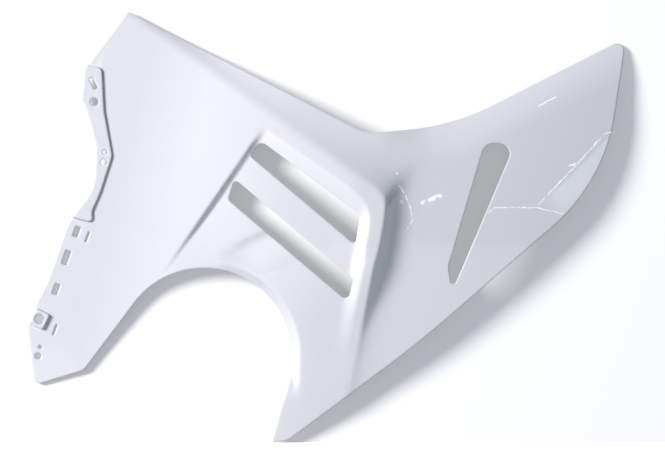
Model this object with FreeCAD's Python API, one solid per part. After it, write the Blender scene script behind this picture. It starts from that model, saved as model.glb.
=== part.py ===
import FreeCAD, Part
import math
import os

# A motorbike's front fairing panel, moulded as one shell. X runs forward along the motorbike, Z runs
# up, and the painted side faces -Y. The origin is the centre of the upper fixing hole, on the outer
# face of the flange. All sizes are in millimetres.

# Wall of the shell
wall = 3.0

# Outline of the panel seen from the painted side, as corners (x, z, radius)
prong_tip = (45.0, 121.0, 5.0)
prong_foot = (364.0, -43.0, 65.0)
wing_foot = (480.0, -31.0, 320.0)
nose_corner = (712.0, 87.5, 10.0)
nose_chin = (681.0, -106.0, 250.0)
belly_bend = (434.0, -320.0, 1500.0)
leg_toe_z = -455.0
leg_toe_radius = 3.0
leg_toe_width = 21.5
leg_heel_lift = 3.0
leg_heel_radius = 18.0
leg_knee_radius = 150.0
leg_knee_clear = 2.0
leg_lean = math.radians(16.0)
lobe_front_z = -357.7
lobe_front_radius = 12.0
lobe_rear = (-80.0, -378.0, 8.0)
rear_edge = [
    (-90.0, -292.0, 40.0),
    (-63.0, -240.0, 30.0),
    (-36.0, -163.0, 30.0),
    (0.0, -115.0, 60.0),
    (3.0, -60.0, 30.0),
    (-9.0, -14.0, 10.0),
    (-17.0, 4.0, 8.0),
    (-13.0, 44.0, 8.0),
]

# Round cut-out over the engine, with a straight rear side
arch_centre = (147.0, -338.0)
arch_radius = 116.5
arch_rear_lean = math.radians(53.0)

# Field that rises forward from the flat strip along the rear edge
flange_proud = 4.0
flat_strip_x = 34.0
flat_strip_z = -60.0
flat_strip_lean = 0.26
field_slope = 0.165
field_blend = 100.0

# Wing and leg, one crowned surface
wing_height = 22.0
wing_crown_x = 300.0
wing_crown_z = -150.0
wing_bend_radius = 2800.0
leg_bend_radius = 500.0
tuck_radius = 1400.0

# Crest from the prong tip to a corner, then down beside the louvres
crest_tip = (54.0, 106.0)
crest_corner = (365.0, -117.0)
crest_shoulder = (368.0, -150.0)
crest_foot = (337.0, -327.0)
crest_round = 13.0
strip_slope = 0.7
rail_height = 45.0
rail_round = 3.0
rail_width = 18.0
fall_slope = 1.15
fall_round = 9.0
valley_round = 6.0

# Leg, where the field and the crest run out into the wing
leg_start_z = -255.0
leg_run = 110.0
leg_rear_x = 100.0
leg_blend = 120.0
leg_drop = 15.0

# Louvre recess, with a straight step on its rear side
step_foot = (85.0, -236.0)
step_head = (217.0, -51.0)
step_width = 10.0
step_foot_width = 4.0
recess_depth = 16.0
recess_runout = 170.0
recess_foot_z = -390.0
recess_foot_run = 90.0
recess_top_margin = 10.0
recess_top_flank = 38.0
recess_front_flank = 18.0

# Fold that runs from a point towards the lower louvre
fold_tip = (158.0, -199.0)
fold_end = (224.0, -168.0)
fold_depth = 4.0
fold_width = 12.0
fold_run = 50.0
fold_runout = 60.0
fold_length = 80.0
fold_end_run = 25.0

# Rolled rim on the front side of the arch and curled top edge of the wing
rim_depth = 12.0
rim_width = 12.0
rim_rear_run = 80.0
rim_foot_z = -400.0
rim_runout = 70.0
curl_depth = 9.0
curl_width = 30.0
curl_start_x = 380.0
curl_blend = 70.0

# Louvre slots and the long slit, as corners (x, z, radius)
upper_louvre = [(222.0, -52.0, 9.0), (354.0, -150.0, 16.0), (348.5, -191.0, 4.0), (208.5, -72.5, 4.0)]
lower_louvre = [(188.0, -103.0, 5.0), (345.5, -236.0, 4.0), (338.0, -265.5, 6.0), (179.0, -130.5, 7.0)]
long_slit = [(521.0, -55.0, 17.0), (560.5, -56.0, 14.0), (476.5, -253.0, 4.0), (472.0, -219.0, 14.0)]

# Fixing flange that stands proud of the field along the upper rear edge
flange_edge = [
    (-40.0, 52.0, 0.0),
    (10.0, 46.0, 8.0),
    (13.0, -12.0, 20.0),
    (24.0, -72.0, 16.0),
    (8.0, -121.0, 40.0),
    (-3.0, -146.0, 10.0),
    (-2.0, -161.0, 5.0),
    (-60.0, -146.0, 0.0),
]

# Raised square boss near the foot of the rear edge
boss_centre = (-73.0, -289.5)
boss_length = 22.0
boss_width = 20.0
boss_lean = 26.0
boss_proud = 5.0
boss_corner = 2.5

# Round holes along the rear edge, as centre and radius
upper_hole = (0.0, 0.0)
upper_hole_radius = 5.5
pin_hole = (14.5, -67.0)
pin_hole_radius = 3.15
screw_hole = (13.0, -80.5)
screw_hole_radius = 4.3
boss_hole_radius = 6.6
lower_hole = (-75.0, -339.0)
lower_hole_radius = 4.3
peg_hole = (-72.5, -327.0)
peg_hole_radius = 2.6

# Slots for the clips of the next panel, as centre, length and width
clip_lean = 20.0
clip_slots = [
    ((-23.6, -173.0), 14.5, 7.0),
    ((-37.5, -207.5), 19.5, 7.4),
    ((-51.0, -249.7), 15.0, 7.0),
]
sight_slits = [
    ((-9.3, -180.0), 14.5, 2.3),
    ((-52.6, -304.0), 14.5, 2.3),
]
top_slot_centre = (-1.0, 24.6)
top_slot_length = 16.0
top_slot_width = 5.4
top_slot_lean = -24.0

# Lines of control points along and across the crest, closer together over the step and the crest
skin_margin = 20.0
slope_reach = 1.0
step_band = 12.0
step_pitch = 8.0
crest_band = 45.0
crest_pitch = 18.0
ridge_pitch = 18.0
louvre_reach = 280.0
louvre_pitch = 34.0
plain_pitch = 90.0


def smooth(t):
    """Rise from 0 to 1 with level ends."""
    t = min(max(t, 0.0), 1.0)
    return t * t * (3.0 - 2.0 * t)


def ramp(t, blend):
    """Straight slope that starts level over the length of the blend."""
    if t <= 0.0:
        return 0.0
    if t < blend:
        return t * t / (2.0 * blend)
    return t - blend / 2.0


def soft_max(a, b, rounding):
    """The larger of two values, with a rounded change from one to the other."""
    return (a + b) / 2.0 + math.hypot((a - b) / 2.0, rounding)


def left_of(x, z, start, end):
    """Distance of a point to the left of the line from start to end."""
    run = end[0] - start[0]
    rise = end[1] - start[1]
    return (run * (z - start[1]) - rise * (x - start[0])) / math.hypot(run, rise)


def line_height(x, start, end):
    """Height of the line through two outline corners at x."""
    return start[1] + (end[1] - start[1]) * (x - start[0]) / (end[0] - start[0])


def field(x, z):
    """Rear field: flat beside the rear edge, then rising towards the crest."""
    flat_edge = flat_strip_x + flat_strip_lean * (z - flat_strip_z)
    return field_slope * ramp(x - flat_edge, field_blend) - flange_proud


def wing(x, z):
    """Wing and leg, crowned forward and back and tucked in above and below."""
    bend_radius = wing_bend_radius if x > wing_crown_x else leg_bend_radius
    bend = (x - wing_crown_x) ** 2 / (2.0 * bend_radius)
    return wing_height - bend - (z - wing_crown_z) ** 2 / (2.0 * tuck_radius)


def recess(x, z):
    """Depth of the louvre recess below the field."""
    run = (step_head[0] - step_foot[0], step_head[1] - step_foot[1])
    along = ((x - step_foot[0]) * run[0] + (z - step_foot[1]) * run[1]) / math.hypot(*run)
    growth = smooth(along / recess_runout)
    width = step_foot_width + (step_width - step_foot_width) * growth
    ahead = smooth(-left_of(x, z, step_foot, step_head) / width)
    below_crest = -left_of(x, z, crest_tip, crest_corner) - recess_top_margin
    behind_crest = -left_of(x, z, crest_shoulder, crest_foot)
    top_flank = smooth(below_crest / recess_top_flank)
    front_flank = smooth(behind_crest / recess_front_flank)
    depth = recess_depth * growth * smooth((z - recess_foot_z) / recess_foot_run)
    return depth * ahead * top_flank * front_flank


def fold(x, z):
    """Depth of the fold under the lower louvre."""
    run = (fold_end[0] - fold_tip[0], fold_end[1] - fold_tip[1])
    along = ((x - fold_tip[0]) * run[0] + (z - fold_tip[1]) * run[1]) / math.hypot(*run)
    below = -left_of(x, z, fold_tip, fold_end)
    depth = fold_depth * smooth(along / fold_run) * (1.0 - smooth((along - fold_length) / fold_end_run))
    return depth * smooth(below / fold_width) * (1.0 - smooth(below / fold_runout))


def arch_distance(x, z):
    """Distance of a point from the edge of the arch, out into the panel."""
    dx = x - arch_centre[0]
    dz = z - arch_centre[1]
    across = dz * math.cos(arch_rear_lean) - dx * math.sin(arch_rear_lean)
    down = -dx * math.cos(arch_rear_lean) - dz * math.sin(arch_rear_lean)
    if down > 0.0 and dx < 0.0:
        return across - arch_radius
    return math.hypot(dx, max(dz, 0.0)) - arch_radius


def top_edge(x):
    """Height of the panel's top edge."""
    prong = line_height(x, prong_tip, prong_foot)
    valley = line_height(x, prong_foot, wing_foot)
    return max(prong, valley, line_height(x, wing_foot, nose_corner))


def relief(x, z):
    """Height of the painted skin above the face of the flange."""
    base = wing(x, z)
    rear = -soft_max(-field(x, z), -rail_height, rail_round)
    runout = smooth((leg_start_z - z) / leg_run) * smooth((x - leg_rear_x) / leg_blend)
    rear += (base - leg_drop - rear) * runout - recess(x, z)
    above = left_of(x, z, crest_tip, crest_corner)
    ahead = left_of(x, z, crest_shoulder, crest_foot)
    fall = strip_slope * ramp(above, crest_round) + fall_slope * ramp(ahead - rail_width, fall_round)
    height = soft_max(base, rear - fall, valley_round) - fold(x, z)
    rim = rim_depth * (1.0 - smooth(arch_distance(x, z) / rim_width))
    rim *= smooth((z - rim_foot_z) / rim_runout) * smooth((x - arch_centre[0]) / rim_rear_run)
    curl = curl_depth * (1.0 - smooth((top_edge(x) - z) / curl_width))
    return height - rim - curl * smooth((x - curl_start_x) / curl_blend)


def lines(*runs):
    """Knots at even pitch along runs given as (start, end, pitch)."""
    knots = [runs[0][0]]
    for start, end, pitch in runs:
        count = max(1, round((end - start) / pitch))
        knots += [start + (end - start) * i / count for i in range(1, count + 1)]
    return knots


def pole_places(knots):
    """Places of a cubic spline's poles that keep it straight along an even run."""
    full = [knots[0]] * 3 + knots + [knots[-1]] * 3
    return [sum(full[i + 1:i + 4]) / 3.0 for i in range(len(knots) + 2)]


def skin_block(outline_corners, offset):
    """Solid behind the skin at an offset across its slope. Its control lines follow the crest."""
    run = (crest_corner[0] - crest_tip[0], crest_corner[1] - crest_tip[1])
    ahead = (run[0] / math.hypot(*run), run[1] / math.hypot(*run))
    above = (-ahead[1], ahead[0])

    def along_crest(point):
        return point[0] * ahead[0] + point[1] * ahead[1]

    def above_crest(point):
        return point[0] * above[0] + point[1] * above[1]

    alongs = [along_crest(corner) for corner in outline_corners]
    aboves = [above_crest(corner) for corner in outline_corners]
    step = along_crest(step_foot)
    crest = above_crest(crest_tip)
    step_start = step - step_band
    step_end = step + step_width + step_band
    ridge_start = along_crest(crest_corner) - crest_band / 2.0
    ridge_end = along_crest(crest_foot) + crest_band
    u_knots = lines(
        (min(alongs) - skin_margin, step_start, plain_pitch),
        (step_start, step_end, step_pitch),
        (step_end, ridge_start, louvre_pitch),
        (ridge_start, ridge_end, ridge_pitch),
        (ridge_end, max(alongs) + skin_margin, plain_pitch),
    )
    v_knots = lines(
        (min(aboves) - skin_margin, crest - louvre_reach, plain_pitch),
        (crest - louvre_reach, crest - crest_band, louvre_pitch),
        (crest - crest_band, crest + crest_band, crest_pitch),
        (crest + crest_band, max(aboves) + skin_margin, plain_pitch),
    )

    def pole(u, v):
        x = u * ahead[0] + v * above[0]
        z = u * ahead[1] + v * above[1]
        slope_x = (relief(x + slope_reach, z) - relief(x - slope_reach, z)) / (2.0 * slope_reach)
        slope_z = (relief(x, z + slope_reach) - relief(x, z - slope_reach)) / (2.0 * slope_reach)
        y = offset * math.sqrt(1.0 + slope_x ** 2 + slope_z ** 2) - relief(x, z)
        return FreeCAD.Vector(x, y, z)

    poles = [[pole(u, v) for v in pole_places(v_knots)] for u in pole_places(u_knots)]
    u_mults = [4] + [1] * (len(u_knots) - 2) + [4]
    v_mults = [4] + [1] * (len(v_knots) - 2) + [4]
    surface = Part.BSplineSurface()
    surface.buildFromPolesMultsKnots(poles, u_mults, v_mults, u_knots, v_knots, False, False, 3, 3)
    return surface.toShape().extrude(FreeCAD.Vector(0, nose_corner[0], 0))


def rounded_wire(corners):
    """Closed wire of straight runs, rounded at each corner (x, z, radius)."""
    ends = []
    count = len(corners)
    for i, (x, z, radius) in enumerate(corners):
        here = FreeCAD.Vector(x, 0, z)
        before = FreeCAD.Vector(corners[i - 1][0], 0, corners[i - 1][1]) - here
        after = FreeCAD.Vector(corners[(i + 1) % count][0], 0, corners[(i + 1) % count][1]) - here
        before.normalize()
        after.normalize()
        half = before.getAngle(after) / 2.0
        reach = radius / math.tan(half)
        middle = (before + after).normalize()
        crown = here + middle * (radius / math.sin(half) - radius)
        ends.append((here + before * reach, crown, here + after * reach, radius))
    edges = []
    for i, (start, crown, end, radius) in enumerate(ends):
        if radius > 0.0:
            edges.append(Part.Arc(start, crown, end).toShape())
        following = ends[(i + 1) % count][0]
        if (following - end).Length > 0.001:
            edges.append(Part.LineSegment(end, following).toShape())
    return Part.Wire(edges)


def prism(wire, start, end):
    """Solid over a wire in the XZ plane, from start to end along Y."""
    face = Part.Face(wire)
    face.translate(FreeCAD.Vector(0, start, 0))
    return face.extrude(FreeCAD.Vector(0, end - start, 0))


def through(wire):
    """Cutter that runs right through the panel."""
    return prism(wire, -nose_corner[0] / 2.0, nose_corner[0] / 2.0)


def bore(centre, radius):
    """Round cutter along Y, right through the panel."""
    foot = FreeCAD.Vector(centre[0], -nose_corner[0] / 2.0, centre[1])
    return Part.makeCylinder(radius, nose_corner[0], foot, FreeCAD.Vector(0, 1, 0))


def leaning_rectangle(centre, length, width, lean, corner=0.0):
    """Corners of a rectangle whose length leans forward from upright by an angle in degrees."""
    up = (math.sin(math.radians(lean)), math.cos(math.radians(lean)))
    corners = []
    for along, across in ((1, -1), (1, 1), (-1, 1), (-1, -1)):
        x = centre[0] + along * length / 2.0 * up[0] + across * width / 2.0 * up[1]
        z = centre[1] + along * length / 2.0 * up[1] - across * width / 2.0 * up[0]
        corners.append((x, z, corner))
    return corners


def panel_corners():
    """Corners of the whole outline, with the arch."""
    arch_top = arch_centre[1] + arch_radius
    arch_reach = arch_radius * math.tan(arch_rear_lean / 2.0)
    arch_front = (arch_centre[0] + arch_radius, arch_top, arch_radius)
    arch_rear = (arch_centre[0] - arch_reach, arch_top, arch_radius)
    lobe_front_x = arch_rear[0] - (arch_top - lobe_front_z) / math.tan(arch_rear_lean)
    lobe_front = (lobe_front_x, lobe_front_z, lobe_front_radius)
    upper = [prong_tip, prong_foot, wing_foot, nose_corner, nose_chin, belly_bend]
    knee_drop = leg_knee_radius * math.tan(leg_lean / 2.0) + leg_knee_clear
    leg_knee = (arch_front[0], arch_centre[1] - knee_drop, leg_knee_radius)
    toe_x = leg_knee[0] - (leg_knee[1] - leg_toe_z) * math.tan(leg_lean)
    leg_toe = (toe_x, leg_toe_z, leg_toe_radius)
    leg_heel = (toe_x + leg_toe_width, leg_toe_z + leg_heel_lift, leg_heel_radius)
    lower = [leg_heel, leg_toe, leg_knee, arch_front, arch_rear, lobe_front, lobe_rear]
    return upper + lower + rear_edge


def raised(panel, outline, wire, face_y, foot_y):
    """Press a hollow pad with a flat face out of the panel, one wall thick."""
    hollow = wire.makeOffset2D(-wall)
    pad = prism(wire, face_y, foot_y).cut(prism(hollow, face_y + wall, foot_y + wall))
    opened = panel.cut(prism(hollow, face_y - wall, foot_y + wall))
    return opened.fuse(pad.common(outline))


def make_panel():
    """The whole shell."""
    corners = panel_corners()
    outline = through(rounded_wire(corners))
    panel = outline.common(skin_block(corners, 0.0)).cut(skin_block(corners, wall))

    field_y = flange_proud
    seat_y = field_y + wall / 2.0
    panel = raised(panel, outline, rounded_wire(flange_edge), 0.0, seat_y)
    boss = leaning_rectangle(boss_centre, boss_length, boss_width, boss_lean, boss_corner)
    panel = raised(panel, outline, rounded_wire(boss), field_y - boss_proud, seat_y)

    cutters = [through(rounded_wire(corners)) for corners in (upper_louvre, lower_louvre, long_slit)]
    for centre, length, width in clip_slots + sight_slits:
        cutters.append(through(rounded_wire(leaning_rectangle(centre, length, width, clip_lean))))
    top_slot = leaning_rectangle(top_slot_centre, top_slot_length, top_slot_width, top_slot_lean)
    cutters.append(through(rounded_wire(top_slot)))
    cutters.append(bore(upper_hole, upper_hole_radius))
    cutters.append(bore(pin_hole, pin_hole_radius))
    cutters.append(bore(screw_hole, screw_hole_radius))
    cutters.append(bore(boss_centre, boss_hole_radius))
    cutters.append(bore(lower_hole, lower_hole_radius))
    cutters.append(bore(peg_hole, peg_hole_radius))
    return panel.cut(cutters)


os.makedirs("parts", exist_ok=True)
panel = make_panel()
solid = panel.Solids[0]
print("solids", len(panel.Solids), "valid", solid.isValid(), "volume", round(solid.Volume))
print("box", solid.BoundBox)
solid.exportStep("parts/fairing_panel.step")
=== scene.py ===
import math

import bmesh
import bpy
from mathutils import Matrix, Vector, kdtree


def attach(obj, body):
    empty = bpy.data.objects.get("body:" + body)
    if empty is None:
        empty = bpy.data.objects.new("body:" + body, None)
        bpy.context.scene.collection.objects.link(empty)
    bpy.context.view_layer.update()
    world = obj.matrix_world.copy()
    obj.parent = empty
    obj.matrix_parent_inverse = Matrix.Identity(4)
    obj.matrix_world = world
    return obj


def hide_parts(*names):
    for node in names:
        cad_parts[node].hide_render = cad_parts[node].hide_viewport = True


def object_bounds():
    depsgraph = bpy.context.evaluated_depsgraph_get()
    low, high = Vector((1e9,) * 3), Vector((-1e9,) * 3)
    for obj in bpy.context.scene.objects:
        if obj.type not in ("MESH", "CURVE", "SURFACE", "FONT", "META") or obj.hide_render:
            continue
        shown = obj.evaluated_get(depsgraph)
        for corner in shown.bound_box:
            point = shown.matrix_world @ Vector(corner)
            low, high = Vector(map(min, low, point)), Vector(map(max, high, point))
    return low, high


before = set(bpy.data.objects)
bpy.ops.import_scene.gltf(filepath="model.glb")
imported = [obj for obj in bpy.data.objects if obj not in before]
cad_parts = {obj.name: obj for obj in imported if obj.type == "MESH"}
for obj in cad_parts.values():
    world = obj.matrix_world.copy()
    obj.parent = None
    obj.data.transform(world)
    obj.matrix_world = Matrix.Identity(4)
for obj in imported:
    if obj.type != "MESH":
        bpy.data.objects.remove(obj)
cad_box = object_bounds()

# The panel is one injection-moulded shell of a motorbike's front fairing, 3 mm thick. Its outside
# is sprayed gloss white under a clear coat, and its back is bare dark plastic with overspray at the
# edges. The sizes of its relief are in millimetres, and its points are (x, z).
wall = 3.0
prong_tip = (45.0, 121.0)
prong_foot = (364.0, -43.0)
wing_foot = (480.0, -31.0)
nose_corner = (712.0, 87.5)
arch_centre = (147.0, -338.0)
arch_radius = 116.5
arch_rear_lean = math.radians(53.0)
flange_proud = 4.0
flat_strip = (34.0, -60.0)
flat_strip_lean = 0.26
field_slope = 0.165
field_blend = 100.0
wing_height = 22.0
wing_crown = (300.0, -150.0)
wing_bend_radius = 2800.0
leg_bend_radius = 500.0
tuck_radius = 1400.0
crest_tip = (54.0, 106.0)
crest_corner = (365.0, -117.0)
crest_shoulder = (375.0, -150.0)
crest_foot = (340.0, -327.0)
ridge_corner_round = 9.0
ridge_round = 9.5
strip_slope = 0.7
rail_height = 45.0
rail_round = 3.0
rail_width = 9.5
fall_slope = 1.75
valley_round = 9.0
leg_start_z = -180.0
leg_run = 185.0
leg_rear_x = 100.0
leg_blend = 120.0
leg_drop = 15.0
step_foot = (85.0, -236.0)
step_head = (212.0, -51.0)
step_width = 10.0
step_foot_width = 4.0
recess_depth = 16.0
recess_runout = 170.0
recess_foot_z = -390.0
recess_foot_run = 90.0
recess_top_margin = 10.0
recess_top_flank = 38.0
recess_front_flank = 22.0
fold_tip = (158.0, -199.0)
fold_end = (224.0, -168.0)
fold_depth = 5.0
fold_width = 16.0
fold_run = 50.0
fold_runout = 60.0
fold_length = 80.0
fold_end_run = 25.0
rim_depth = 12.0
rim_width = 12.0
rim_rear_run = 80.0
rim_foot_z = -400.0
rim_runout = 70.0
curl_depth = 9.0
curl_width = 55.0
top_edge_round = 5.0
curl_start_x = 380.0
curl_blend = 70.0


def smooth(t):
    t = min(max(t, 0.0), 1.0)
    return t * t * (3.0 - 2.0 * t)


def ramp(t, blend):
    if t <= 0.0:
        return 0.0
    if t < blend:
        return t * t / (2.0 * blend)
    return t - blend / 2.0


def soft_max(a, b, rounding):
    return (a + b) / 2.0 + math.hypot((a - b) / 2.0, rounding)


def left_of(x, z, start, end):
    run = end[0] - start[0]
    rise = end[1] - start[1]
    return (run * (z - start[1]) - rise * (x - start[0])) / math.hypot(run, rise)


def along(x, z, start, end):
    run = end[0] - start[0]
    rise = end[1] - start[1]
    return (run * (x - start[0]) + rise * (z - start[1])) / math.hypot(run, rise)


def line_height(x, start, end):
    return start[1] + (end[1] - start[1]) * (x - start[0]) / (end[0] - start[0])


def recess(x, z):
    growth = smooth(along(x, z, step_foot, step_head) / recess_runout)
    width = step_foot_width + (step_width - step_foot_width) * growth
    ahead = smooth(-left_of(x, z, step_foot, step_head) / width)
    below_crest = -left_of(x, z, crest_tip, crest_corner)
    top_flank = smooth((below_crest - recess_top_margin) / recess_top_flank)
    front_flank = smooth(-left_of(x, z, crest_shoulder, crest_foot) / recess_front_flank)
    depth = recess_depth * growth * smooth((z - recess_foot_z) / recess_foot_run)
    return depth * ahead * top_flank * front_flank


def fold(x, z):
    reach = along(x, z, fold_tip, fold_end)
    below = -left_of(x, z, fold_tip, fold_end)
    depth = fold_depth * smooth(reach / fold_run)
    depth *= 1.0 - smooth((reach - fold_length) / fold_end_run)
    return depth * smooth(below / fold_width) * (1.0 - smooth(below / fold_runout))


def arch_distance(x, z):
    dx = x - arch_centre[0]
    dz = z - arch_centre[1]
    across = dz * math.cos(arch_rear_lean) - dx * math.sin(arch_rear_lean)
    down = -dx * math.cos(arch_rear_lean) - dz * math.sin(arch_rear_lean)
    if down > 0.0 and dx < 0.0:
        return across - arch_radius
    return math.hypot(dx, max(dz, 0.0)) - arch_radius


def top_edge(x):
    prong = line_height(x, prong_tip, prong_foot)
    valley = line_height(x, prong_foot, wing_foot)
    wing = line_height(x, wing_foot, nose_corner)
    return soft_max(soft_max(prong, valley, top_edge_round), wing, top_edge_round)


def relief(x, z):
    """Height of the painted skin above the face of the flange, in millimetres."""
    bend_radius = wing_bend_radius if x > wing_crown[0] else leg_bend_radius
    bend = (x - wing_crown[0]) ** 2 / (2.0 * bend_radius)
    base = wing_height - bend - (z - wing_crown[1]) ** 2 / (2.0 * tuck_radius)
    flat_edge = flat_strip[0] + flat_strip_lean * (z - flat_strip[1])
    rear = field_slope * ramp(x - flat_edge, field_blend) - flange_proud
    rear = -soft_max(-rear, -rail_height, rail_round)
    runout = smooth((leg_start_z - z) / leg_run) * smooth((x - leg_rear_x) / leg_blend)
    rear += (base - leg_drop - rear) * runout - recess(x, z)
    above = left_of(x, z, crest_tip, crest_corner)
    ahead = left_of(x, z, crest_shoulder, crest_foot)
    fall = soft_max(strip_slope * above, fall_slope * (ahead - rail_width), ridge_corner_round)
    height = soft_max(base, rear - ramp(fall, ridge_round), valley_round) - fold(x, z)
    rim = rim_depth * (1.0 - smooth(arch_distance(x, z) / rim_width))
    rim *= smooth((z - rim_foot_z) / rim_runout) * smooth((x - arch_centre[0]) / rim_rear_run)
    curl = curl_depth * min(max(1.0 - (top_edge(x) - z) / curl_width, 0.0), 1.0) ** 2
    return height - rim - curl * smooth((x - curl_start_x) / curl_blend)


slope_step = 1.0


def skin_y(x, z, depth):
    """Place of the skin, or of a layer at a depth below it, in metres from places in metres."""
    x *= 1000.0
    z *= 1000.0
    if depth == 0.0:
        return -relief(x, z) / 1000.0
    slope_x = (relief(x + slope_step, z) - relief(x - slope_step, z)) / (2.0 * slope_step)
    slope_z = (relief(x, z + slope_step) - relief(x, z - slope_step)) / (2.0 * slope_step)
    return (depth * math.sqrt(1.0 + slope_x ** 2 + slope_z ** 2) - relief(x, z)) / 1000.0


# This copy of the CAD shell takes finer mesh lines along the crest, the step and the rims, and its
# skin moves onto the relief. Places from here on are in metres.
merge_distance = 0.00001
panel_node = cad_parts["fairing_panel"]
bpy.ops.object.select_all(action="DESELECT")
panel_node.select_set(True)
bpy.context.view_layer.objects.active = panel_node
bpy.ops.object.duplicate()
panel = bpy.context.object
panel.name = "painted_panel"
bpy.ops.object.mode_set(mode="EDIT")
bpy.ops.mesh.select_all(action="SELECT")
bpy.ops.mesh.customdata_custom_splitnormals_clear()
bpy.ops.mesh.remove_doubles(threshold=merge_distance)
bpy.ops.object.mode_set(mode="OBJECT")

shell = bmesh.new()
shell.from_mesh(panel.data)
shell.normal_update()
outer_skin = 1
inner_skin = 2
facing_limit = 0.2
skin_side = shell.faces.layers.int.new("skin_side")
flange_front = 0.026
flange_foot = -0.165
boss_place = Vector((-0.073, 0.0, -0.2895))
boss_reach = 0.017
skin_reach = 0.018
rear_reach = 0.0005
for face in shell.faces:
    centre = face.calc_center_median()
    on_boss = (Vector((centre.x, 0.0, centre.z)) - boss_place).length < boss_reach
    flat_rear = centre.x < flange_front and centre.z > flange_foot or on_boss
    reach = rear_reach if flat_rear else skin_reach
    if face.normal.y < -facing_limit and abs(centre.y - skin_y(centre.x, centre.z, 0.0)) < reach:
        face[skin_side] = outer_skin
    if face.normal.y > facing_limit and abs(centre.y - skin_y(centre.x, centre.z, wall)) < reach:
        face[skin_side] = inner_skin


cut_tolerance = 0.00002


def cut_lines(side, normal, places, near):
    """Cut mesh lines into one side of the shell where planes cross the faces that near picks."""
    on_side = [f for f in shell.faces if f[skin_side] == side]
    waiting = [f for f in on_side if near(f.calc_center_median())]
    for place in places:
        crossed = []
        later = []
        for f in waiting:
            reaches = [v.co.dot(normal) for v in f.verts]
            if max(reaches) <= place + cut_tolerance:
                continue
            if min(reaches) > place - cut_tolerance:
                later.append(f)
            else:
                crossed.append(f)
        edges = {e for f in crossed for e in f.edges}
        corners = {v for f in crossed for v in f.verts}
        cut = bmesh.ops.bisect_plane(
            shell,
            geom=crossed + list(edges) + list(corners),
            dist=cut_tolerance,
            plane_co=normal * place,
            plane_no=normal,
        )
        pieces = [g for g in cut["geom"] if isinstance(g, bmesh.types.BMFace)]
        waiting = later + [f for f in pieces if f.calc_center_median().dot(normal) > place]


def spaced(start, end, pitch):
    return [start + pitch * i for i in range(int((end - start) / pitch) + 1)]


def lines_beside(side, start, end, first, last, pitch, near):
    """Cut mesh lines beside a line of the relief, at distances to its left, all in millimetres."""
    run = Vector((start[0] - end[0], 0.0, start[1] - end[1])).normalized()
    left = Vector((run.z, 0.0, -run.x))
    foot = left.dot(Vector((start[0], 0.0, start[1])))
    cut_lines(side, left, [(foot + d) / 1000.0 for d in spaced(first, last, pitch)], near)


step_lines_reach = 24.0
step_lines_top_z = -0.03
ridge_lines_reach = 75.0
ridge_lines_foot_z = -0.37
ridge_lines_top_z = -0.05
crest_lines_reach = 60.0
crest_lines_front_x = 0.42
arch_lines_inside = 6.0
arch_lines_outside = 34.0
arch_lines_start_x = 0.12
curl_lines_reach = 50.0
curl_lines_start_x = 0.36
fold_lines_x = (0.14, 0.27)
fold_lines_z = (-0.25, -0.15)


def beside_step(place):
    offset = left_of(place.x * 1000.0, place.z * 1000.0, step_foot, step_head)
    return abs(offset) < step_lines_reach and place.z < step_lines_top_z


def beside_ridge(place):
    offset = left_of(place.x * 1000.0, place.z * 1000.0, crest_shoulder, crest_foot)
    return abs(offset) < ridge_lines_reach and ridge_lines_foot_z < place.z < ridge_lines_top_z


def beside_crest(place):
    offset = left_of(place.x * 1000.0, place.z * 1000.0, crest_tip, crest_corner)
    return abs(offset) < crest_lines_reach and place.x < crest_lines_front_x


def beside_arch(place):
    offset = arch_distance(place.x * 1000.0, place.z * 1000.0)
    return -arch_lines_inside < offset < arch_lines_outside and place.x > arch_lines_start_x


def beside_curl(place):
    below = top_edge(place.x * 1000.0) - place.z * 1000.0
    return place.x > curl_lines_start_x and below < curl_lines_reach


def beside_fold(place):
    in_x = fold_lines_x[0] < place.x < fold_lines_x[1]
    return in_x and fold_lines_z[0] < place.z < fold_lines_z[1]


def everywhere(place):
    return True


forward = Vector((1.0, 0.0, 0.0))
upward = Vector((0.0, 0.0, 1.0))
panel_x = (-0.09, 0.71)
panel_z = (-0.46, 0.12)
plain_pitch = 0.009
arch_x = (0.13, 0.29)
arch_z = (-0.4, -0.2)
arch_pitch = 0.003
inner_coarseness = 1.6
for side, coarseness in ((outer_skin, 1.0), (inner_skin, inner_coarseness)):
    cut_lines(side, forward, spaced(*panel_x, plain_pitch * coarseness), everywhere)
    cut_lines(side, upward, spaced(*panel_z, plain_pitch * coarseness), everywhere)
    lines_beside(side, step_foot, step_head, -12.0, 2.0, 2.0 * coarseness, beside_step)
    lines_beside(side, crest_shoulder, crest_foot, -24.0, 54.0, 3.0 * coarseness, beside_ridge)
    lines_beside(side, crest_tip, crest_corner, -50.0, 30.0, 4.0 * coarseness, beside_crest)
    cut_lines(side, forward, spaced(*arch_x, arch_pitch * coarseness), beside_arch)
    cut_lines(side, upward, spaced(*arch_z, arch_pitch * coarseness), beside_arch)
    lines_beside(side, wing_foot, nose_corner, -60.0, 4.0, 4.0 * coarseness, beside_curl)
    lines_beside(side, fold_tip, fold_end, -20.0, 2.0, 3.0 * coarseness, beside_fold)

box_gap = 0.00005
lowest_y = cad_box[0][1] + box_gap
highest_y = cad_box[1][1] - box_gap
limit_round = 0.0006
for side, depth in ((outer_skin, 0.0), (inner_skin, wall)):
    for v in {v for f in shell.faces if f[skin_side] == side for v in f.verts}:
        place_y = soft_max(skin_y(v.co.x, v.co.z, depth), lowest_y + depth / 1000.0, limit_round)
        v.co.y = min(place_y, highest_y)
bmesh.ops.triangulate(shell, faces=[f for f in shell.faces if len(f.verts) > 3])
shell.normal_update()

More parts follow.
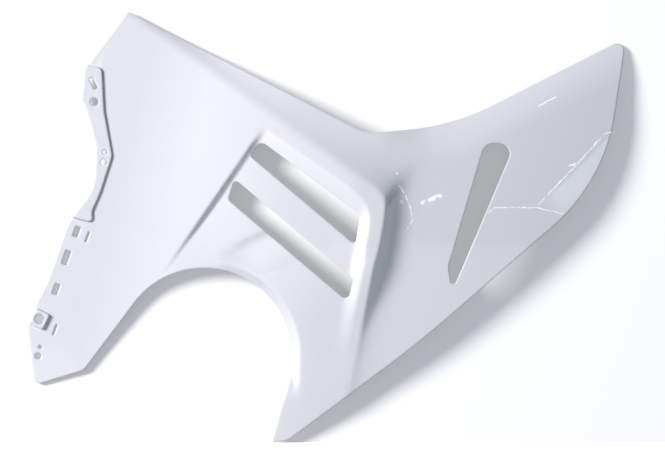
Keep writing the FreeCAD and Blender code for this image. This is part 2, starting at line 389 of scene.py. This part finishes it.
# How much overspray reaches each place on the back, from its distance to the nearest rim
edge_mist = shell.verts.layers.float.new("edge_mist")
rims = [v for v in shell.verts if {f[skin_side] for f in v.link_faces} == {0, inner_skin}]
nearest = kdtree.KDTree(len(rims))
for i, v in enumerate(rims):
    nearest.insert(v.co, i)
nearest.balance()
mist_reach = 0.012
flange_reach = 0.05
for v in shell.verts:
    beyond_flange = smooth((v.co.x - flange_reach) / flange_reach)
    v[edge_mist] = beyond_flange * (1.0 - smooth(nearest.find(v.co)[2] / mist_reach))
shell.to_mesh(panel.data)
shell.free()
crease_angle = math.radians(38)
bpy.ops.object.shade_smooth_by_angle(angle=crease_angle)


def vector_step(tree, operation, first, second):
    node = tree.nodes.new("ShaderNodeVectorMath")
    node.operation = operation
    for socket, value in zip(node.inputs, (first, second)):
        if isinstance(value, (tuple, Vector)):
            socket.default_value = value
        elif value is not None:
            tree.links.new(value, socket)
    return node


def number_step(tree, operation, first, second, clamp=False):
    node = tree.nodes.new("ShaderNodeMath")
    node.operation = operation
    node.use_clamp = clamp
    for socket, value in zip(node.inputs, (first, second)):
        if isinstance(value, float):
            socket.default_value = value
        else:
            tree.links.new(value, socket)
    return node.outputs[0]


def range_step(tree, value, span, results=(0.0, 1.0), eased=False):
    node = tree.nodes.new("ShaderNodeMapRange")
    node.interpolation_type = "SMOOTHSTEP" if eased else "LINEAR"
    node.inputs["From Min"].default_value, node.inputs["From Max"].default_value = span
    node.inputs["To Min"].default_value, node.inputs["To Max"].default_value = results
    tree.links.new(value, node.inputs["Value"])
    return node.outputs["Result"]


def noise_step(tree, place, scale, detail):
    node = tree.nodes.new("ShaderNodeTexNoise")
    node.inputs["Scale"].default_value = scale
    node.inputs["Detail"].default_value = detail
    tree.links.new(place, node.inputs["Vector"])
    return node


def tone_step(tree, share, first, second):
    """Mix a tone, or the result of a tone step, with a second tone."""
    node = tree.nodes.new("ShaderNodeMix")
    node.data_type = "RGBA"
    tree.links.new(share, node.inputs["Factor"])
    if isinstance(first, tuple):
        node.inputs["A"].default_value = first
    else:
        tree.links.new(first, node.inputs["A"])
    node.inputs["B"].default_value = second
    return node.outputs["Result"]


# The mask of one straight scratch: full along its core, and none beyond its half width
scratch_core = 0.3
scratch = bpy.data.node_groups.new("scratch_between", "ShaderNodeTree")
for socket_name in ("Place", "From", "To"):
    scratch.interface.new_socket(socket_name, in_out="INPUT", socket_type="NodeSocketVector")
scratch.interface.new_socket("Width", in_out="INPUT", socket_type="NodeSocketFloat")
scratch.interface.new_socket("Mask", in_out="OUTPUT", socket_type="NodeSocketFloat")
scratch_in = scratch.nodes.new("NodeGroupInput").outputs
scratch_out = scratch.nodes.new("NodeGroupOutput").inputs
offset = vector_step(scratch, "SUBTRACT", scratch_in["Place"], scratch_in["From"])
from_start = offset.outputs["Vector"]
whole = vector_step(scratch, "SUBTRACT", scratch_in["To"], scratch_in["From"])
whole_run = whole.outputs["Vector"]
run_dot = vector_step(scratch, "DOT_PRODUCT", from_start, whole_run).outputs["Value"]
run_square = vector_step(scratch, "DOT_PRODUCT", whole_run, whole_run).outputs["Value"]
share = number_step(scratch, "DIVIDE", run_dot, run_square, clamp=True)
reached = vector_step(scratch, "SCALE", whole_run, None)
scratch.links.new(share, reached.inputs["Scale"])
aside = vector_step(scratch, "SUBTRACT", from_start, reached.outputs["Vector"]).outputs["Vector"]
distance = vector_step(scratch, "LENGTH", aside, None).outputs["Value"]
core_width = number_step(scratch, "MULTIPLY", scratch_in["Width"], scratch_core)
edge = scratch.nodes.new("ShaderNodeMapRange")
edge.interpolation_type = "SMOOTHSTEP"
edge.inputs["To Min"].default_value = 1.0
edge.inputs["To Max"].default_value = 0.0
scratch.links.new(distance, edge.inputs["Value"])
scratch.links.new(core_width, edge.inputs["From Min"])
scratch.links.new(scratch_in["Width"], edge.inputs["From Max"])
scratch.links.new(edge.outputs["Result"], scratch_out["Mask"])

paint = bpy.data.materials.new("gloss_white_paint")
paint.use_nodes = True
paint_tree = paint.node_tree
paint_nodes = paint_tree.nodes
paint_links = paint_tree.links
paint_shader = paint_nodes["Principled BSDF"]
paint_shader.inputs["Coat Roughness"].default_value = 0.05
paint_place = paint_nodes.new("ShaderNodeTexCoord").outputs["Object"]

# Places on the skin as seen from the side, shifted a little so that the scratches wander
wander = 0.0032
noise_middle = (0.5, 0.5, 0.5)
scratch_wander = noise_step(paint_tree, paint_place, 160.0, 3.0)
wander_way = vector_step(paint_tree, "SUBTRACT", scratch_wander.outputs["Color"], noise_middle)
wandered = vector_step(paint_tree, "MULTIPLY_ADD", wander_way.outputs["Vector"], (wander,) * 3)
paint_links.new(paint_place, wandered.inputs[2])
flattened = vector_step(paint_tree, "MULTIPLY", wandered.outputs["Vector"], (1.0, 0.0, 1.0))
flat_place = flattened.outputs["Vector"]

# Scratches and chips in the clear coat, as (x, z) in metres along each and its half width
scratches = [
    ([(0.524, -0.149), (0.534, -0.141), (0.589, -0.141), (0.625, -0.149)], 0.0009),
    (
        [(0.592, -0.137), (0.616, -0.112), (0.644, -0.083), (0.680, -0.043), (0.690, -0.040)],
        0.0010,
    ),
    ([(0.593, -0.005), (0.616, 0.007)], 0.0010),
    ([(0.437, -0.135), (0.440, -0.133)], 0.0027),
    ([(0.447, -0.131), (0.460, -0.125)], 0.0038),
    ([(0.634, -0.085), (0.641, -0.083)], 0.0018),
    (
        [(0.406, -0.112), (0.414, -0.124), (0.421, -0.140), (0.424, -0.157), (0.417, -0.169)],
        0.0009,
    ),
    ([(0.402, -0.095), (0.403, -0.096)], 0.0013),
    ([(0.409, -0.132), (0.410, -0.134)], 0.0020),
]
scratch_mask = None
for bends, width in scratches:
    for start, end in zip(bends, bends[1:]):
        stroke = paint_nodes.new("ShaderNodeGroup")
        stroke.node_tree = scratch
        stroke.inputs["From"].default_value = (start[0], 0.0, start[1])
        stroke.inputs["To"].default_value = (end[0], 0.0, end[1])
        stroke.inputs["Width"].default_value = width
        paint_links.new(flat_place, stroke.inputs["Place"])
        stroke_mask = stroke.outputs["Mask"]
        if scratch_mask is None:
            scratch_mask = stroke_mask
        else:
            scratch_mask = number_step(paint_tree, "MAXIMUM", scratch_mask, stroke_mask)
chip_grain = noise_step(paint_tree, paint_place, 240.0, 2.0)
chip_edge = range_step(paint_tree, chip_grain.outputs["Fac"], (0.33, 0.58))
scratch_mask = number_step(paint_tree, "MULTIPLY", scratch_mask, chip_edge)

# A dull scuffed patch between the long scratch and the front edge. Its paler white is partly wear
# and partly a painted sheen of reflected light.
scuff_start = Vector((0.592, 0.0, -0.137))
scuff_end = Vector((0.690, 0.0, -0.040))
scuff_edge_width = 0.006
scuff_foot_run = 0.03
scuff_least = 0.35
scuff_run = (scuff_end - scuff_start).normalized()
scuff_across = Vector((scuff_run.z, 0.0, -scuff_run.x))
edge_place = scuff_across.dot(scuff_start)
foot_place = scuff_run.dot(scuff_start)
place_across = vector_step(paint_tree, "DOT_PRODUCT", flat_place, scuff_across).outputs["Value"]
place_along = vector_step(paint_tree, "DOT_PRODUCT", flat_place, scuff_run).outputs["Value"]
edge_span = (edge_place, edge_place + scuff_edge_width)
foot_span = (foot_place, foot_place + scuff_foot_run)
scuff_edge = range_step(paint_tree, place_across, edge_span, eased=True)
scuff_foot = range_step(paint_tree, place_along, foot_span, eased=True)
scuff_grain = noise_step(paint_tree, paint_place, 38.0, 5.0).outputs["Fac"]
scuff_and_sheen_strength = number_step(paint_tree, "ADD", scuff_grain, scuff_least, clamp=True)
scuff_and_sheen_mask = number_step(paint_tree, "MULTIPLY", scuff_edge, scuff_foot)
scuff_and_sheen_mask = number_step(paint_tree, "MULTIPLY", scuff_and_sheen_mask, scuff_and_sheen_strength)

# The white drifts a little over the panel and is paler where it is scratched. Where it is scuffed,
# the paler white is partly a painted sheen.
bluish_white = (0.85, 0.855, 0.895, 1.0)
plain_white = (0.87, 0.87, 0.90, 1.0)
scuff_sheen_white = (0.95, 0.96, 0.97, 1.0)
scratched_white = (0.97, 0.98, 1.0, 1.0)
white_shift = noise_step(paint_tree, paint_place, 5.0, 2.0).outputs["Fac"]
white_tone = tone_step(paint_tree, white_shift, bluish_white, plain_white)
# The scuff's paler white stands in part for a painted reflection.
scuff_and_sheen_tone = tone_step(paint_tree, scuff_and_sheen_mask, white_tone, scuff_sheen_white)
scratched_tone = tone_step(paint_tree, scratch_mask, scuff_and_sheen_tone, scratched_white)
paint_links.new(scratched_tone, paint_shader.inputs["Base Color"])

# Worn places lose their gloss and their clear coat
worn = number_step(paint_tree, "MAXIMUM", scratch_mask, scuff_and_sheen_mask)
worn_gloss = range_step(paint_tree, worn, (0.0, 1.0), results=(0.32, 0.75))
paint_links.new(worn_gloss, paint_shader.inputs["Roughness"])
coat_left = number_step(paint_tree, "SUBTRACT", 1.0, worn, clamp=True)
paint_links.new(coat_left, paint_shader.inputs["Coat Weight"])

# The paint rounds the moulded edges and has a faint orange peel, and the chips face the rear
orange_peel = noise_step(paint_tree, paint_place, 260.0, 1.0)
eased_edge = paint_nodes.new("ShaderNodeBevel")
eased_edge.samples = 6
eased_edge.inputs["Radius"].default_value = 0.0038
peel_bump = paint_nodes.new("ShaderNodeBump")
peel_bump.inputs["Strength"].default_value = 0.25
peel_bump.inputs["Distance"].default_value = 0.00004
paint_links.new(orange_peel.outputs["Fac"], peel_bump.inputs["Height"])
paint_links.new(eased_edge.outputs["Normal"], peel_bump.inputs["Normal"])
chip_facing = paint_nodes.new("ShaderNodeMix")
chip_facing.data_type = "VECTOR"
chip_facing.inputs["B"].default_value = (-0.45, -0.85, 0.25)
paint_links.new(scratch_mask, chip_facing.inputs["Factor"])
paint_links.new(peel_bump.outputs["Normal"], chip_facing.inputs["A"])
paint_links.new(chip_facing.outputs["Result"], paint_shader.inputs["Normal"])

# The back is bare plastic with faint flow marks and a mould grain, and with overspray at its rims
dark_plastic = (0.045, 0.046, 0.05, 1.0)
greyer_plastic = (0.075, 0.076, 0.08, 1.0)
overspray_white = (0.8, 0.8, 0.83, 1.0)
bare_plastic = bpy.data.materials.new("bare_plastic")
bare_plastic.use_nodes = True
bare_tree = bare_plastic.node_tree
bare_nodes = bare_tree.nodes
bare_links = bare_tree.links
bare_shader = bare_nodes["Principled BSDF"]
bare_place = bare_nodes.new("ShaderNodeTexCoord").outputs["Object"]
flow_noise = noise_step(bare_tree, bare_place, 9.0, 4.0)
flow_noise.inputs["Distortion"].default_value = 0.6
flow_marks = flow_noise.outputs["Fac"]
bare_tone = tone_step(bare_tree, flow_marks, dark_plastic, greyer_plastic)
mist_amount = bare_nodes.new("ShaderNodeAttribute")
mist_amount.attribute_name = "edge_mist"
mist_grain = noise_step(bare_tree, bare_place, 420.0, 3.0).outputs["Fac"]
mist_spread = number_step(bare_tree, "ADD", mist_amount.outputs["Fac"], mist_grain)
mist_spots = range_step(bare_tree, mist_spread, (0.95, 1.75), eased=True)
misted_tone = tone_step(bare_tree, mist_spots, bare_tone, overspray_white)
bare_links.new(misted_tone, bare_shader.inputs["Base Color"])
bare_gloss = range_step(bare_tree, flow_marks, (0.0, 1.0), results=(0.5, 0.68))
bare_links.new(bare_gloss, bare_shader.inputs["Roughness"])
mould_grain = noise_step(bare_tree, bare_place, 900.0, 2.0)
bare_bump = bare_nodes.new("ShaderNodeBump")
bare_bump.inputs["Strength"].default_value = 0.4
bare_bump.inputs["Distance"].default_value = 0.0001
bare_links.new(mould_grain.outputs["Fac"], bare_bump.inputs["Height"])
bare_links.new(bare_bump.outputs["Normal"], bare_shader.inputs["Normal"])

panel.data.materials.clear()
panel.data.materials.append(paint)
panel.data.materials.append(bare_plastic)
for polygon in panel.data.polygons:
    polygon.material_index = int(polygon.normal.y > facing_limit)
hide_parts("fairing_panel")
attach(panel, "root")

# The backdrop is a white sheet close behind the panel, turned a little to follow it, and catches its
# shadow. The floor is a white sheet just under the panel's leg. Each shows from one side only and
# glows a little, so that it reads as white.
sheet_size = 8.0
sheet_centre_x = 0.3
backdrop_turn = math.radians(2.0)
backdrop_gap = 0.003
backdrop_lift = 2.0
floor_gap = 0.001
turned_back = (cad_box[1][0] - sheet_centre_x) * math.tan(backdrop_turn)
backdrop_y = cad_box[1][1] + backdrop_gap - turned_back
backdrop_place = (sheet_centre_x, backdrop_y, cad_box[0][2] + backdrop_lift)
floor_place = (sheet_centre_x, 0.0, cad_box[0][2] - floor_gap)
for sheet_name, sheet_place, sheet_facing, sheet_white, sheet_glow in (
    ("backdrop", backdrop_place, (math.radians(90), 0.0, backdrop_turn), 1.0, 0.25),
    ("studio_floor", floor_place, (0.0, 0.0, 0.0), 0.8, 0.5),
):
    bpy.ops.object.select_all(action="DESELECT")
    bpy.ops.mesh.primitive_plane_add(size=sheet_size, location=sheet_place, rotation=sheet_facing)
    sheet = bpy.context.object
    sheet.name = sheet_name
    bpy.ops.object.transform_apply(location=True, rotation=True, scale=True)
    white_sheet = bpy.data.materials.new(sheet_name + "_white")
    white_sheet.use_nodes = True
    sheet_nodes = white_sheet.node_tree.nodes
    sheet_links = white_sheet.node_tree.links
    sheet_shader = sheet_nodes["Principled BSDF"]
    sheet_shader.inputs["Base Color"].default_value = (sheet_white,) * 3 + (1.0,)
    sheet_shader.inputs["Roughness"].default_value = 0.9
    sheet_shader.inputs["Specular IOR Level"].default_value = 0.0
    sheet_shader.inputs["Emission Color"].default_value = (1.0, 1.0, 1.0, 1.0)
    sheet_shader.inputs["Emission Strength"].default_value = sheet_glow
    see_through = sheet_nodes.new("ShaderNodeBsdfTransparent")
    sheet_side = sheet_nodes.new("ShaderNodeNewGeometry")
    one_sided = sheet_nodes.new("ShaderNodeMixShader")
    sheet_links.new(sheet_side.outputs["Backfacing"], one_sided.inputs["Fac"])
    sheet_links.new(sheet_shader.outputs["BSDF"], one_sided.inputs[1])
    sheet_links.new(see_through.outputs["BSDF"], one_sided.inputs[2])
    sheet_links.new(one_sided.outputs["Shader"], sheet_nodes["Material Output"].inputs["Surface"])
    sheet.data.materials.append(white_sheet)
    sheet.visible_diffuse = False
    sheet.visible_shadow = False

# A large soft lamp stands at the upper left in front, a weaker one lights the back, and a dim even
# sky fills the shaded side.
world = bpy.data.worlds.new("studio")
world.use_nodes = True
sky = world.node_tree.nodes["Background"]
sky.inputs["Color"].default_value = (0.77, 0.84, 1.0, 1.0)
sky.inputs["Strength"].default_value = 0.27
bpy.context.scene.world = world
lamp_aim = Vector((0.3, 0.0, -0.15))
lamp_distance = 5.0
for lamp_name, lamp_side, lamp_size, lamp_power in (
    ("front_lamp", Vector((-0.76, -0.63, 0.29)), 1.8, 266.0),
    ("rear_lamp", Vector((0.50, 0.75, 0.43)), 2.2, 200.0),
):
    lamp_place = lamp_aim + lamp_distance * lamp_side.normalized()
    bpy.ops.object.light_add(type="AREA", location=lamp_place)
    lamp = bpy.context.object
    lamp.name = lamp_name
    lamp.data.shape = "DISK"
    lamp.data.size = lamp_size
    lamp.data.energy = lamp_power
    lamp.rotation_euler = (lamp_aim - lamp_place).to_track_quat("-Z", "Y").to_euler()

# The camera looks straight at the painted side from far away, with the photograph's framing.
photo_width = 665
photo_height = 455
metres_per_pixel = 0.004 / 3.0
photo_origin = (94.2, 101.9)
camera_distance = 5.0
camera_data = bpy.data.cameras.new("camera")
camera_data.sensor_width = 36.0
camera_data.lens = camera_data.sensor_width * camera_distance / (photo_width * metres_per_pixel)
camera = bpy.data.objects.new("camera", camera_data)
camera.location = (
    (photo_width / 2.0 - photo_origin[0]) * metres_per_pixel,
    -camera_distance,
    (photo_origin[1] - photo_height / 2.0) * metres_per_pixel,
)
camera.rotation_euler = (math.radians(90), 0.0, 0.0)
bpy.context.scene.collection.objects.link(camera)
bpy.context.scene.camera = camera
bpy.context.scene.view_settings.view_transform = "Standard"
